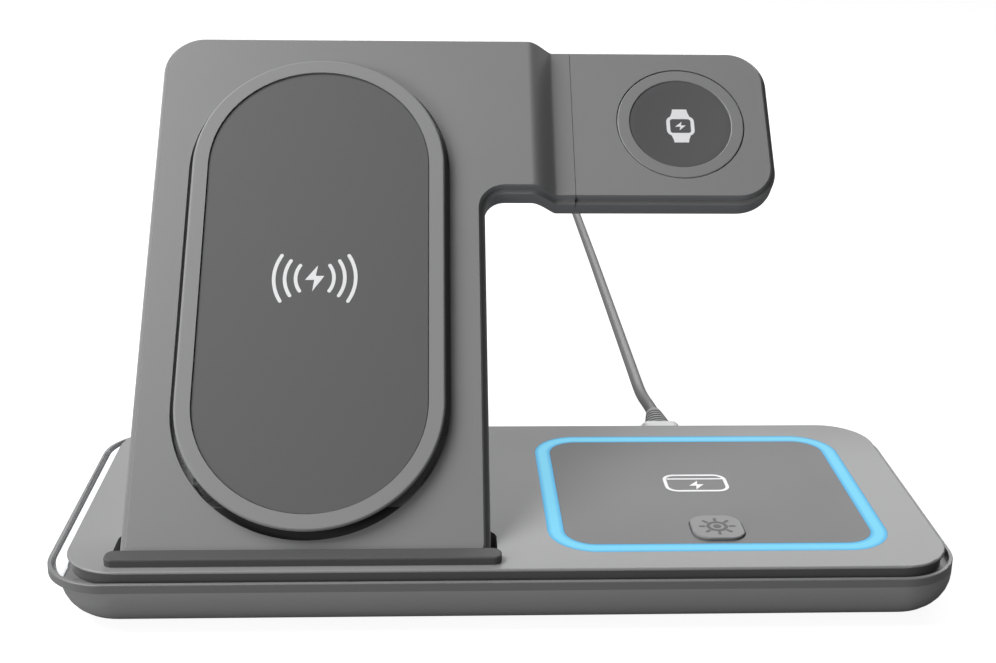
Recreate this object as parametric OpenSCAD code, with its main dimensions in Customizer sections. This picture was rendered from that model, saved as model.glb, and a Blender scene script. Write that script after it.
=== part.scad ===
// Wireless charging stand: a low base with a leaning phone plate, a watch head on a
// joggled arm, a lit earbud pad and a plugged-in supply cord.
// +Z is up, -Y is the front, the origin is the middle of the base on the table.

/* [Base] */
// Width of the base's top cover
cover_w = 190; // [170:1:215]
// Depth of the top cover, front to back
cover_d = 80; // [76:1:100]
// Corner radius of the top cover in plan
cover_r = 12; // [8:0.5:16]
// Height of the cover's surface above the table
base_h = 14; // [13.5:0.5:18]
// Thickness of the cover's skin
cover_t = 1.8; // [1.4:0.1:2.4]
// Wall of the bottom tray
tray_t = 1.6; // [1.2:0.1:1.8]
// How far the tray's curved side runs in towards the bottom
bowl_in = 8; // [5:0.5:10]
// Height of the non-slip pad's face below the tray
pad_proud = 0.8; // [0.4:0.1:1.2]

/* [Rim frame] */
// Drop from the cover's surface to the top of the rim frame
rim_drop = 2; // [1:0.1:2.2]
// Height of the rim frame
rim_h = 2; // [1.6:0.1:2.6]
// Reach of the rim frame beyond the cover, all round
rim_out = 1.8; // [1.2:0.1:2.5]
// Extra reach of the rim frame at the left, where the light strip lies
rim_left = 2.4; // [2:0.2:5]
// Thickness of the rim frame's upright lip
rim_lip = 0.8; // [0.6:0.1:1.2]

/* [Phone plate] */
// Lean of the plate from the table in degrees
lean = 46; // [40:1:56]
// Width of the plate
plate_w = 79.3; // [70:0.1:88]
// Length of the plate up its slope, from the cover's surface
plate_l = 135.3; // [120:0.1:150]
// Thickness of the plate and of the arm
plate_t = 7.5; // [6.4:0.1:8.4]
// Middle of the plate, left of the base's middle
plate_x = -44; // [-48:0.5:-42]
// Where the plate's front face meets the cover, behind the cover's front edge
plate_front = 7.5; // [7:0.5:12]
// Plan radius of the plate's and the watch head's free corners
corner_r = 10; // [6:0.5:14]
// Width of the raised pad's rim, across the plate
pad_w = 60; // [50:1:64]
// Length of the raised pad's rim, up the plate
pad_l = 121.3; // [100:0.1:124]
// Width of the raised pad's rim band
pad_band = 3.7; // [2:0.1:6]
// Height of the raised pad above the plate
pad_h = 3; // [1:0.2:4]
// Width of the groove round the raised pad
pad_groove = 1.2; // [0.6:0.1:2]

/* [Arm and watch head] */
// Height of the arm and the watch head, up the slope
arm_h = 45; // [40:1:52]
// Reach of the watch head's end, right of the base's middle
head_end = 68.3; // [64:0.1:76]
// Parting plane between arm and watch head
head_x = 18; // [16:0.5:22]
// Step back from the plate's face to the watch head's face
joggle = 5; // [3:0.5:5.6]
// Radius of the watch puck
puck_r = 15.9; // [14:0.1:17]
// Radius of the dished face in the middle of the puck
dish_r = 12.7; // [10:0.1:13.4]

/* [Earbud pad] */
// Width of the light ring, outside
ring_w = 75.6; // [60:0.2:80]
// Depth of the light ring, outside
ring_d = 64.4; // [50:0.2:68]
// Width of the light ring's band
ring_band = 3.6; // [2:0.2:5]
// Corner radius of the light ring, outside
ring_r = 10.4; // [7:0.2:14]
// Side of the light button
button_w = 11.6; // [8:0.2:14]
// Height of the button above the pad
button_proud = 0.6; // [0.3:0.1:1.2]
// Travel of the button
button_travel = 0.5; // [0.3:0.1:0.8]

/* [Hinges] */
// Radius of the plate's hinge tube
tube_r = 1.5; // [1.2:0.1:1.8]
// Radius of the hinge knuckles
knuckle_r = 2.9; // [2.6:0.1:3]
// Depth of the hinge axis below the cover's surface
hinge_drop = 3; // [3:0.1:3.6]
// Length of each hinge knuckle
knuckle_l = 12; // [8:1:16]
// Radius of the watch head's pivot tube
pivot_r = 1.2; // [1:0.1:1.3]
// Radial clearance of a running fit
running = 0.05; // [0.02:0.01:0.08]
// Gap left between pieces that move past each other
moving_gap = 0.3; // [0.25:0.05:0.5]
// Gap left between pieces that are put together and stay put
seat_gap = 0.05; // [0.02:0.01:0.1]

/* [Supply cord] */
// Middle of the rear socket, right of the base's middle
port_x = 45; // [38:0.5:52]
// Height of the socket's middle above the table
port_z = 5.6; // [5.4:0.1:6.2]
// Diameter of the cord
cord_dia = 3.4; // [3:0.1:4]

/* [Hidden] */
$fn = 64;
arc_steps = 5;
slip = 0.01;

tray_z0 = pad_proud;
rim_z1 = base_h - rim_drop;
rim_z0 = rim_z1 - rim_h;
flange_t = 0.6;
seat_z = rim_z0 + flange_t;
under_z = base_h - cover_t;
bowl_h = rim_z0 - tray_z0 - 1;
edge_r = 0.5;

hinge_z = base_h - hinge_drop;
fold_gap = 0.4;
axis_to_back = hinge_drop + fold_gap;
axis_to_face = axis_to_back + plate_t;
plate_y = -cover_d / 2 + plate_front;
hinge_y = plate_y + (axis_to_face - hinge_drop * cos(lean)) / sin(lean);
hinge_v = (hinge_y - plate_y) * cos(lean) - hinge_drop * sin(lean);
foot_v = -1;
plate_x0 = plate_x - plate_w / 2;
plate_x1 = plate_x + plate_w / 2;
front_wall = 1.4;
back_wall = 1.2;
side_wall = 1.6;
split_d = -plate_t / 2;
pad_v = plate_l / 2 - 2.7;
back_r = 1.6;
front_r = 0.9;

slot_side = 1.4;
slot_x0 = plate_x0 - slot_side;
slot_x1 = plate_x1 + slot_side;
slot_y0 = plate_y - 1;
slot_y1 = plate_y + plate_t / sin(lean) + 0.9;
slot_r = 3.5;
well_z = 5.7;
well_t = 1.2;
knuckle_in = 5.8;
well_x0 = plate_x0 + knuckle_in - 2.4;
well_x1 = plate_x1 - knuckle_in + 2.4;
well_y1 = hinge_y + knuckle_r + 0.5;
ear_t = 2;

arm_v0 = plate_l - arm_h;
arm_mid = plate_l - arm_h / 2;
fillet_r = 5;
arm_x0 = plate_x1 + fillet_r;
step_x0 = 7;
step_x1 = 14;
head_d = -joggle;
head_gap = moving_gap;
pivot_d = -joggle - plate_t / 2;
puck_x = 45.2;
arm_wall = 1.2;

ring_x = 46.3;
ring_in_w = ring_w - 2 * ring_band;
ring_in_d = ring_d - 2 * ring_band;
ring_in_r = ring_r - ring_band;
button_x = 46.3;
button_y = -21.3;
button_r = 3.8;
board_z1 = port_z - 1.6;
board_t = 1;
boss_x = cover_w / 2 - 4.7;
boss_y = 22;
boss_r = 2.2;
screw_r = 1;
screw_head_r = 1.9;

plug_w = 10.6;
plug_h = 5.6;
plug_y0 = cover_d / 2 + rim_out + 0.2;
plug_y1 = plug_y0 + 12;
relief_l = 15;
relief_tip = plug_y1 + relief_l;
coil_x = 67.9;
coil_y = 362;
coil_out_r = 24.1;
coil_in_r = 13.9;
coil_h = 2 * cord_dia;
// The cord leaves the plug, sinks to the table and runs straight back to the coil
cord_pts = [
    [45, 68, 5.6], [45, 70.5, 5.5], [45, 75, 5], [45, 82, 3.9], [45, 89, 2.7],
    [45, 96, 1.9], [45, 104, 1.7], [45.1, 130, 1.7], [45.2, 155, 1.7], [45.3, 185, 1.7],
    [45.4, 215, 1.7], [45.5, 245, 1.7], [45.5, 275, 1.7], [45.5, 300, 1.7], [45.5, 320, 1.7],
    [45.5, 335, 1.7],
    [45.5, 349.6, 1.7]
];
// The tail leaves the coil's top layer at the back and comes down to the far plug
tail_pts = [
    [80.3, 384.4, 5.1], [84, 384.4, 4.9], [88, 384.4, 4.3], [92, 384.4, 3.7], [96, 384.4, 3.5],
    [99, 384.4, 3.5]
];
usb_a_x = 99;
usb_a_y = 384.4;
usb_a_w = 15;
usb_a_h = 7;
usb_a_l = 21;

function arc(cx, cy, r, a0, a1) =
    [for (i = [0:arc_steps]) let (a = a0 + (a1 - a0) * i / arc_steps)
        [cx + r * cos(a), cy + r * sin(a)]];
function corner_pts(cx, cy, r, a0, a1, px, py) = r > 0 ? arc(cx, cy, r, a0, a1) : [[px, py]];
// Section of a moulded edge: t runs in from the outside, z up, rounded above and below
function edge_pts(t, z0, z1, rt, rb) = concat(
    [[0, z0]], corner_pts(t - rb, z0 + rb, rb, -90, 0, t, z0),
    corner_pts(t - rt, z1 - rt, rt, 0, 90, t, z1), [[0, z1]]);

// A section carried round a rounded rectangle: corners are revolved, sides are extruded
module round_rect(w, d, r) {
    for (q = [0:3]) {
        side = q % 2 == 0 ? d - 2 * r : w - 2 * r;
        across = q % 2 == 0 ? w / 2 - r : d / 2 - r;
        along = q % 2 == 0 ? d / 2 - r : w / 2 - r;
        rotate([0, 0, q * 90]) {
            translate([across, along, 0]) rotate_extrude(angle = 90) children();
            translate([across, 0, 0]) rotate([90, 0, 0])
                linear_extrude(height = side, center = true) children();
        }
    }
}

// A slab with a rounded rectangle plan and rounded edges
module slab(w, d, r, z0, z1, rt = 0, rb = 0) {
    round_rect(w, d, r) polygon(edge_pts(r, z0, z1, rt, rb));
    translate([0, 0, (z0 + z1) / 2]) cube([w - 2 * r, d - 2 * r, z1 - z0], center = true);
}

// The tray's bowl: an elliptical side that turns under to a flat bottom
module bowl(w, d, r, inset, z0) {
    run = bowl_in - inset;
    rise = bowl_h + tray_z0 - z0;
    sect = concat([[0, z0]],
        [for (i = [0:8]) [r - inset - run + run * sin(i * 11.25), z0 + rise - rise * cos(i * 11.25)]],
        [[r - inset, rim_z0 + inset], [0, rim_z0 + inset]]);
    round_rect(w, d, r) polygon(sect);
    translate([0, 0, (z0 + rim_z0 + inset) / 2])
        cube([w - 2 * r, d - 2 * r, rim_z0 + inset - z0], center = true);
}

// A section carried round a pill that stands along Y: ends revolved, sides extruded
module round_pill(len, r) {
    run = len / 2 - r;
    for (s = [0, 180])
        rotate([0, 0, s]) {
            translate([0, run, 0]) rotate_extrude(angle = 180) children();
            translate([0, 0, 0]) rotate([90, 0, 0])
                linear_extrude(height = 2 * run, center = true) children();
        }
}

module pill(len, r, z0, z1, rt = 0, rb = 0) {
    round_pill(len, r) polygon(edge_pts(r, z0, z1, rt, rb));
}

// From the plate's own frame (x across, y up the slope, z out of its face) to the base's
module on_plate() {
    translate([0, plate_y, base_h]) rotate([lean, 0, 0]) children();
}

// One base piece with its four screws' bosses at the corners
module at_bosses() {
    for (x = [-boss_x, boss_x], y = [-boss_y, boss_y]) translate([x, y, 0]) children();
}

module base_tray() {
    w = cover_w + 2 * rim_out;
    d = cover_d + 2 * rim_out;
    r = cover_r + rim_out;
    color([0.33, 0.33, 0.34]) difference() {
        union() {
            difference() {
                bowl(w, d, r, 0, tray_z0);
                bowl(w, d, r, tray_t, tray_z0 + tray_t);
            }
            intersection() {
                at_bosses() cylinder(r = boss_r, h = under_z - 3.2);
                bowl(w, d, r, 0, tray_z0);
            }
        }
        slab(pad_plan_w + 2 * seat_gap, pad_plan_d + 2 * seat_gap, 8, 0, tray_z0 + 0.6);
        at_bosses() cylinder(r = screw_r + seat_gap, h = base_h);
        at_bosses() cylinder(r = screw_head_r + seat_gap, h = tray_z0 + 1.4);
        translate([port_x, cover_d / 2, port_z]) rotate([90, 0, 0])
            slot_bar(9.3, 3.5, 20);
    }
}
pad_plan_w = cover_w - 2 * bowl_in - 12;
pad_plan_d = cover_d - 2 * bowl_in - 8;

// A bar with a stadium section, its long side along X and its length along Z
module slot_bar(w, h, len) {
    for (s = [-1, 1]) translate([s * (w - h) / 2, 0, 0]) cylinder(r = h / 2, h = len, center = true);
    cube([w - h, h, len], center = true);
}

module base_pad() {
    color([0.12, 0.12, 0.12]) slab(pad_plan_w, pad_plan_d, 7.9, 0, tray_z0 + 0.6, 0, 0.3);
}

module tray_screws() {
    color([0.7, 0.7, 0.72]) at_bosses() {
        translate([0, 0, tray_z0 + 0.3]) cylinder(r = screw_head_r, h = 1.1);
        translate([0, 0, tray_z0 + 1]) cylinder(r = screw_r, h = under_z - tray_z0 - 2.2);
    }
}

module rim_outline(inset, z0, z1, rt) {
    translate([-rim_left / 2, 0, 0])
        slab(cover_w + 2 * rim_out + rim_left - 2 * inset, cover_d + 2 * rim_out - 2 * inset,
            cover_r + rim_out - inset, z0, z1, rt);
}

module rim_frame() {
    color([0.38, 0.38, 0.39]) difference() {
        rim_outline(0, rim_z0, rim_z1, 0.3);
        rim_outline(rim_lip, seat_z, base_h, 0);
        slab(cover_w - 3, cover_d - 3, cover_r - 1.5, 0, base_h);
    }
}

module side_light_guide() {
    color([0.98, 0.98, 1]) intersection() {
        difference() {
            rim_outline(rim_lip + seat_gap, seat_z, seat_z + 0.9, 0);
            slab(cover_w + 2 * seat_gap, cover_d + 2 * seat_gap, cover_r + seat_gap, 0, base_h);
        }
        translate([-cover_w / 2 - 10 + 3, 0, seat_z]) cube([20, cover_d + 10, 10], center = true);
    }
}

module side_led_strip() {
    x = -cover_w / 2 + side_wall;
    color([0.9, 0.9, 0.86]) translate([x + 0.1, -17, rim_z0 - 1.4]) {
        cube([0.6, 34, 2.4]);
        for (i = [0:4]) translate([-0.06, 3.5 + 6 * i, 0.7]) cube([1, 3, 1]);
    }
}

// The well behind the phone rest: the foot's slot, and a pocket for the hinge knuckles
module well_space(grow, z0, z1) {
    cx = (slot_x0 + slot_x1) / 2;
    cy = (slot_y0 + slot_y1) / 2;
    translate([cx, cy, 0])
        slab(slot_x1 - slot_x0 + 2 * grow, slot_y1 - slot_y0 + 2 * grow, slot_r + grow, z0, z1);
    translate([well_x0 - grow, cy, z0])
        cube([well_x1 - well_x0 + 2 * grow, well_y1 + grow - cy, z1 - z0]);
}

// Hinge ears stand at both sides of each knuckle
function ear_places() = [well_x0, well_x0 + ear_t + 2 * gap_x + knuckle_l,
    well_x1 - 2 * ear_t - 2 * gap_x - knuckle_l, well_x1 - ear_t];
gap_x = 0.4;

module hinge_ears() {
    for (x = ear_places()) translate([x, 0, 0]) {
        translate([0, hinge_y, hinge_z]) rotate([0, 90, 0]) cylinder(r = knuckle_r, h = ear_t);
        translate([0, hinge_y - 2, well_z]) cube([ear_t, well_y1 - hinge_y + 2, hinge_z - well_z]);
    }
}

module top_cover() {
    color([0.55, 0.55, 0.56]) difference() {
        union() {
            difference() {
                slab(cover_w, cover_d, cover_r, seat_z, base_h, edge_r);
                slab(cover_w - 2 * side_wall, cover_d - 2 * side_wall, cover_r - side_wall, 0, under_z);
            }
            well_space(well_t, well_z - well_t, under_z);
            at_bosses() translate([0, 0, under_z - 3.1]) cylinder(r = boss_r, h = 3.1);
        }
        difference() {
            well_space(0, well_z, base_h + 1);
            hinge_ears();
        }
        translate([well_x0 - 1, hinge_y, hinge_z]) rotate([0, 90, 0])
            cylinder(r = tube_r + slip, h = well_x1 - well_x0 + 2);
        at_bosses() translate([0, 0, under_z - 4]) cylinder(r = screw_r + slip, h = 3.9);
        translate([ring_x, 0, 0])
            slab(ring_w + 2 * seat_gap, ring_d + 2 * seat_gap, ring_r + seat_gap, 0, base_h + 1);
    }
}

module phone_rest() {
    d = 4.6;
    y = plate_y - 0.7 - d / 2;
    color([0.25, 0.25, 0.26]) translate([plate_x, y, 0])
        slab(plate_w + 4.2, d, 1.85, base_h, base_h + 1.8, 0.5);
}

module ring_light_guide() {
    color([0.45, 0.85, 1]) translate([ring_x, 0, 0]) difference() {
        slab(ring_w, ring_d, ring_r, under_z, base_h);
        slab(ring_in_w, ring_in_d, ring_in_r, 0, base_h + 1);
    }
}

module ring_led_board() {
    color([0.1, 0.35, 0.2]) translate([ring_x, 0, 0]) difference() {
        slab(ring_w + 3, ring_d + 3, ring_r + 1.5, under_z - 1, under_z);
        slab(ring_in_w - 8, ring_in_d - 8, 4, 0, base_h);
        translate([button_x - ring_x, button_y, 0])
            slab(button_w + 3, button_w + 2.4, 3, 0, base_h);
    }
}

module earbud_pad() {
    gap = 0.2;
    color([0.5, 0.5, 0.51]) translate([ring_x, 0, 0]) difference() {
        slab(ring_in_w - 2 * seat_gap, ring_in_d - 2 * seat_gap, ring_in_r - seat_gap, under_z, base_h);
        translate([button_x - ring_x, button_y, 0])
            slab(button_w + 2 * gap, button_w + 2 * gap, button_r + gap, 0, base_h + 1);
    }
}
bud_coil_y = 5;

module earbud_coil() {
    color([0.75, 0.42, 0.2]) translate([ring_x, bud_coil_y, under_z - 1.2]) difference() {
        cylinder(r = 17, h = 1.2);
        translate([0, 0, -1]) cylinder(r = 7, h = 4);
    }
}

module earbud_ferrite() {
    color([0.2, 0.2, 0.2]) translate([ring_x, bud_coil_y, under_z - 1.8]) cylinder(r = 18, h = 0.6);
}

module base_circuit_board() {
    color([0.08, 0.32, 0.18]) difference() {
        translate([10, -27, board_z1 - board_t]) cube([72, 62.5, board_t]);
        for (x = [14, 78], y = [-24, 26]) translate([x, y, 0]) cylinder(r = 1.1, h = base_h);
    }
}

module board_components() {
    color([0.15, 0.15, 0.16]) translate([0, 0, board_z1]) {
        translate([20, 8, 0]) cube([7, 7, 1]);
        translate([56, -2, 0]) cube([6, 6, 1]);
        translate([22, -14, 0]) cube([5, 4, 1.2]);
        for (i = [0:3]) translate([62 + 4 * i, 14, 0]) cylinder(r = 1.5, h = 2.4);
        translate([28, 22, 0]) cube([6, 6, 2.8]);
    }
}

module usb_socket() {
    len = 7.4;
    color([0.75, 0.75, 0.77]) translate([port_x, cover_d / 2 + 0.6, port_z]) rotate([90, 0, 0]) {
        difference() {
            translate([0, 0, len / 2]) slot_bar(8.94, 3.2, len);
            translate([0, 0, len / 2 - 0.8]) slot_bar(8.36, 2.56, len);
        }
        translate([0, 0, len - 3]) cube([6.6, 0.7, 5.2], center = true);
    }
}

module button_switch() {
    color([0.2, 0.2, 0.2]) translate([button_x, button_y, board_z1]) {
        translate([0, 0, 1.2]) cube([6, 6, 2.4], center = true);
        translate([0, 0, 2.4]) cylinder(r = 1.6, h = 0.7);
    }
}

module light_button() {
    switch_top = board_z1 + 3.1;
    color([0.62, 0.62, 0.63]) translate([button_x, button_y, 0]) {
        slab(button_w, button_w, button_r, under_z - 0.8, base_h + button_proud, 0.35);
        slab(button_w + 1.8, button_w + 1.8, button_r + 0.9, under_z - 0.8, under_z - 0.1);
        translate([0, 0, switch_top + button_travel + 0.05])
            cylinder(r = 1.5, h = under_z - 0.8 - switch_top - button_travel);
    }
}

module hinge_tube() {
    color([0.72, 0.72, 0.74]) translate([well_x0 - 1, hinge_y, hinge_z]) rotate([0, 90, 0])
        difference() {
            cylinder(r = tube_r, h = well_x1 - well_x0 + 2);
            translate([0, 0, -1]) cylinder(r = tube_r - 0.5, h = well_x1 - well_x0 + 4);
        }
}

// Section of the plate's edge, t in from the outside
function plate_edge(t, z0, z1, rt, rb) = edge_pts(t, z0, z1, rt, rb);

module straight_edge(t, len) {
    rotate([90, 0, 0]) linear_extrude(height = len, center = true) children();
}

// Body of the plate between two depths, without the arm beyond the fillet
module plate_body(z0, z1, rt, rb) {
    b = 3;
    len = plate_l - foot_v;
    // Free corner at the top left
    translate([plate_x0 + corner_r, plate_l - corner_r, 0]) rotate([0, 0, 90])
        rotate_extrude(angle = 90) polygon(plate_edge(corner_r, z0, z1, rt, rb));
    // Corners of the foot
    translate([plate_x0 + b, foot_v + b, 0]) rotate([0, 0, 180])
        rotate_extrude(angle = 90) polygon(plate_edge(b, z0, z1, rt, rb));
    translate([plate_x1 - b, foot_v + b, 0]) rotate([0, 0, 270])
        rotate_extrude(angle = 90) polygon(plate_edge(b, z0, z1, rt, rb));
    // Left side
    left_l = len - b - corner_r;
    translate([plate_x0 + b, foot_v + b + left_l / 2, 0]) rotate([0, 0, 180])
        straight_edge(b, left_l) polygon(plate_edge(b, z0, z1, rt, rb));
    // Right side below the arm
    right_l = arm_v0 - fillet_r - foot_v - b;
    translate([plate_x1 - b, foot_v + b + right_l / 2, 0])
        straight_edge(b, right_l) polygon(plate_edge(b, z0, z1, rt, rb));
    // Foot
    foot_l = plate_w - 2 * b;
    translate([plate_x, foot_v + b, 0]) rotate([0, 0, 270])
        straight_edge(b, foot_l) polygon(plate_edge(b, z0, z1, rt, rb));
    // Top edge as far as the arm
    top_l = arm_x0 - plate_x0 - corner_r;
    translate([arm_x0 - top_l / 2, plate_l - b, 0]) rotate([0, 0, 90])
        straight_edge(b, top_l) polygon(plate_edge(b, z0, z1, rt, rb));
    // Inside fillet under the arm
    intersection() {
        translate([arm_x0, arm_v0 - fillet_r, 0]) rotate([0, 0, 90]) rotate_extrude(angle = 90)
            translate([fillet_r + 8, 0]) mirror([1, 0]) polygon(plate_edge(8, z0, z1, rt, rb));
        translate([plate_x1 - b, arm_v0 - fillet_r, z0]) cube([b + fillet_r, b + fillet_r, z1 - z0]);
    }
    // The flat middle
    translate([0, 0, z0]) linear_extrude(height = z1 - z0) polygon([
        [plate_x0 + b, foot_v + b], [plate_x1 - b, foot_v + b], [plate_x1 - b, arm_v0 + b],
        [arm_x0, arm_v0 + b], [arm_x0, plate_l - b], [plate_x0 + corner_r, plate_l - b],
        [plate_x0 + corner_r, plate_l - corner_r], [plate_x0 + b, plate_l - corner_r]]);
}

// Level of the arm's face at a place across: a smooth step from the plate down to the head
function step_at(x) = let (k = min(1, max(0, (x - step_x0) / (step_x1 - step_x0))))
    -joggle * (1 - cos(180 * k)) / 2;
// Section of the arm in the plane across it: y up the slope, z out
function arm_ring(v0, v1, z0, z1, rt, rb) = concat(
    corner_pts(v1 - rb, z0 + rb, rb, -90, 0, v1, z0), corner_pts(v1 - rt, z1 - rt, rt, 0, 90, v1, z1),
    corner_pts(v0 + rt, z1 - rt, rt, 90, 180, v0, z1), corner_pts(v0 + rb, z0 + rb, rb, 180, 270, v0, z0));

// The arm is one section carried along the step
module arm_sweep(xa, xb, v0, v1, z0, z1, rt, rb) {
    n = 14;
    stations = concat([xa], [for (i = [0:n]) step_x0 + (step_x1 - step_x0) * i / n], [xb]);
    ring = arm_ring(v0, v1, z0, z1, rt, rb);
    m = len(ring);
    last = len(stations) - 1;
    pts = [for (x = stations) for (p = ring) [x, p[0], p[1] + step_at(x)]];
    sides = [for (k = [0:last - 1]) for (j = [0:m - 1])
        [k * m + j, (k + 1) * m + j, (k + 1) * m + (j + 1) % m, k * m + (j + 1) % m]];
    ends = [[for (j = [0:m - 1]) j], [for (j = [m - 1:-1:0]) last * m + j]];
    polyhedron(points = pts, faces = concat(sides, ends), convexity = 4);
}

module plate_cavity(z0, z1) {
    x0 = plate_x0 + side_wall;
    x1 = plate_x1 - side_wall;
    v0 = foot_v + 12;
    v1 = plate_l - side_wall;
    translate([(x0 + x1) / 2, (v0 + v1) / 2, 0])
        slab(x1 - x0, v1 - v0, corner_r - side_wall, z0, z1);
}

module pivot_bore(r, x0, x1) {
    translate([x0, arm_mid, pivot_d]) rotate([0, 90, 0]) cylinder(r = r, h = x1 - x0);
}

module at_plate_screws() {
    for (p = [[plate_x0 + 6, plate_l - 14], [plate_x1 - 6, plate_l - 14],
        [plate_x0 + 5, 16], [plate_x1 - 5, 16]]) translate([p[0], p[1], 0]) children();
}

module plate_front() {
    color([0.45, 0.45, 0.46]) on_plate() difference() {
        union() {
            difference() {
                union() {
                    plate_body(split_d, 0, front_r, 0);
                    arm_sweep(arm_x0, head_x, arm_v0, plate_l, split_d, 0, front_r, 0);
                }
                plate_cavity(split_d - 1, -front_wall);
                arm_sweep(plate_x1 - 10, head_x - arm_wall, arm_v0 + side_wall, plate_l - side_wall,
                    split_d - 1, -front_wall, 0, 0);
            }
            at_plate_screws() translate([0, 0, split_d]) cylinder(r = 2, h = -split_d - 1);
        }
        translate([plate_x, pad_v, 0]) pill(pad_l + 2 * pad_groove, pad_w / 2 + pad_groove, -0.8, 5);
        at_plate_screws() translate([0, 0, split_d - 1]) cylinder(r = 0.8 + slip, h = 3);
        pivot_bore(pivot_r + running, step_x1 - 1, head_x + 1);
    }
}

module plate_back() {
    color([0.42, 0.42, 0.43]) on_plate() difference() {
        union() {
            difference() {
                union() {
                    plate_body(-plate_t, split_d, 0, back_r);
                    arm_sweep(arm_x0, head_x, arm_v0, plate_l, -plate_t, split_d, 0, back_r);
                }
                plate_cavity(-plate_t + back_wall, split_d + 1);
                arm_sweep(plate_x1 - 10, head_x - arm_wall, arm_v0 + side_wall, plate_l - side_wall,
                    -plate_t + back_wall, split_d + 1, 0, 0);
            }
            at_plate_screws() translate([0, 0, -plate_t]) cylinder(r = 2, h = plate_t + split_d);
            for (x = knuckle_places()) translate([x, 0, 0]) {
                translate([0, hinge_v, -axis_to_face]) rotate([0, 90, 0])
                    cylinder(r = knuckle_r, h = knuckle_l);
                translate([0, hinge_v - knuckle_r, -axis_to_face])
                    cube([knuckle_l, 2 * knuckle_r, axis_to_back + 0.2]);
            }
        }
        for (x = knuckle_places()) translate([x - 1, hinge_v, -axis_to_face]) rotate([0, 90, 0])
            cylinder(r = tube_r + running, h = knuckle_l + 2);
        at_plate_screws() translate([0, 0, -plate_t - 1]) cylinder(r = 0.9, h = plate_t);
        at_plate_screws() translate([0, 0, -plate_t - 1]) cylinder(r = 1.6 + seat_gap, h = 2.1);
        pivot_bore(pivot_r + running, step_x1 - 1, head_x + 1);
    }
}
function knuckle_places() = [well_x0 + ear_t + gap_x, well_x1 - ear_t - gap_x - knuckle_l];

module plate_screws() {
    color([0.7, 0.7, 0.72]) on_plate() at_plate_screws() {
        translate([0, 0, -plate_t + 0.2]) cylinder(r = 1.6, h = 0.9);
        translate([0, 0, -plate_t + 1]) cylinder(r = 0.8, h = plate_t - 3);
    }
}

module phone_pad_rim() {
    color([0.5, 0.5, 0.51]) on_plate() translate([plate_x, pad_v, 0]) difference() {
        pill(pad_l, pad_w / 2, -0.8, pad_h, 0.6);
        pill(pad_l - 2 * pad_band, pad_w / 2 - pad_band, -2, pad_h + 1);
    }
}

module phone_pad() {
    color([0.36, 0.36, 0.37]) on_plate() translate([plate_x, pad_v, 0])
        pill(pad_l - 2 * pad_band - 0.1, pad_w / 2 - pad_band - 0.05, -0.8, pad_h - 0.4, 0.3);
}

module phone_coils() {
    color([0.75, 0.42, 0.2]) on_plate() for (v = [45, 88])
        translate([plate_x, v, -front_wall - 1.2]) difference() {
            cylinder(r = 20.5, h = 1.2);
            translate([0, 0, -1]) cylinder(r = 9, h = 4);
        }
}

module phone_ferrite() {
    color([0.2, 0.2, 0.2]) on_plate() translate([plate_x, 66.5, -front_wall - 1.6])
        cube([46, 92, 0.8], center = true);
}

module plate_circuit_board() {
    color([0.08, 0.32, 0.18]) on_plate() translate([plate_x, 66, -plate_t + back_wall + 0.8])
        cube([50, 60, 1], center = true);
}

module pivot_bush() {
    color([0.72, 0.6, 0.3]) on_plate() difference() {
        translate([head_x - arm_wall - 2.4, arm_mid - 4, pivot_d - 1.8]) cube([2.4, 8, 3.4]);
        pivot_bore(pivot_r + running, step_x1 - 2, head_x + 2);
    }
}

// The watch head between two depths: a free end with round corners, a flat end at the arm
module head_body(z0, z1, rt, rb) {
    x0 = head_x + head_gap;
    b = corner_r;
    sect = plate_edge(b, z0, z1, rt, rb);
    translate([head_end - b, plate_l - b, 0]) rotate_extrude(angle = 90) polygon(sect);
    translate([head_end - b, arm_v0 + b, 0]) rotate([0, 0, 270]) rotate_extrude(angle = 90)
        polygon(sect);
    translate([head_end - b, arm_mid, 0]) straight_edge(b, arm_h - 2 * b) polygon(sect);
    run = head_end - b - x0;
    translate([x0 + run / 2, plate_l - b, 0]) rotate([0, 0, 90]) straight_edge(b, run) polygon(sect);
    translate([x0 + run / 2, arm_v0 + b, 0]) rotate([0, 0, 270]) straight_edge(b, run) polygon(sect);
    translate([x0, arm_v0 + b, z0]) cube([run, arm_h - 2 * b, z1 - z0]);
}

module head_cavity(z0, z1) {
    w = head_end - head_x - head_gap - side_wall - 2;
    translate([head_end - side_wall - w / 2, arm_mid, 0])
        slab(w, arm_h - 2 * side_wall, corner_r - side_wall, z0, z1);
}

module watch_head_front() {
    color([0.45, 0.45, 0.46]) on_plate() difference() {
        head_body(head_d + split_d, head_d, front_r, 0);
        head_cavity(head_d + split_d - 1, head_d - front_wall);
        translate([puck_x, arm_mid, head_d - plate_t]) cylinder(r = puck_r + 0.25, h = 2 * plate_t);
        pivot_bore(pivot_r + slip, head_x, head_x + 5);
    }
}

module watch_head_back() {
    color([0.42, 0.42, 0.43]) on_plate() difference() {
        head_body(head_d - plate_t, head_d + split_d, 0, back_r);
        head_cavity(head_d - plate_t + back_wall, head_d + split_d + 1);
        pivot_bore(pivot_r + slip, head_x, head_x + 5);
    }
}

module watch_puck_ring() {
    color([0.46, 0.46, 0.47]) on_plate() translate([puck_x, arm_mid, head_d - 2.6])
        rotate_extrude() polygon(concat(
            [[dish_r + seat_gap, 0], [puck_r + 1.2, 0], [puck_r + 1.2, 1.1], [puck_r, 1.1]], arc(puck_r - 0.3, 2.3, 0.3, 0, 90),
            arc(dish_r + seat_gap + 0.3, 2.3, 0.3, 90, 180)));
}

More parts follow.
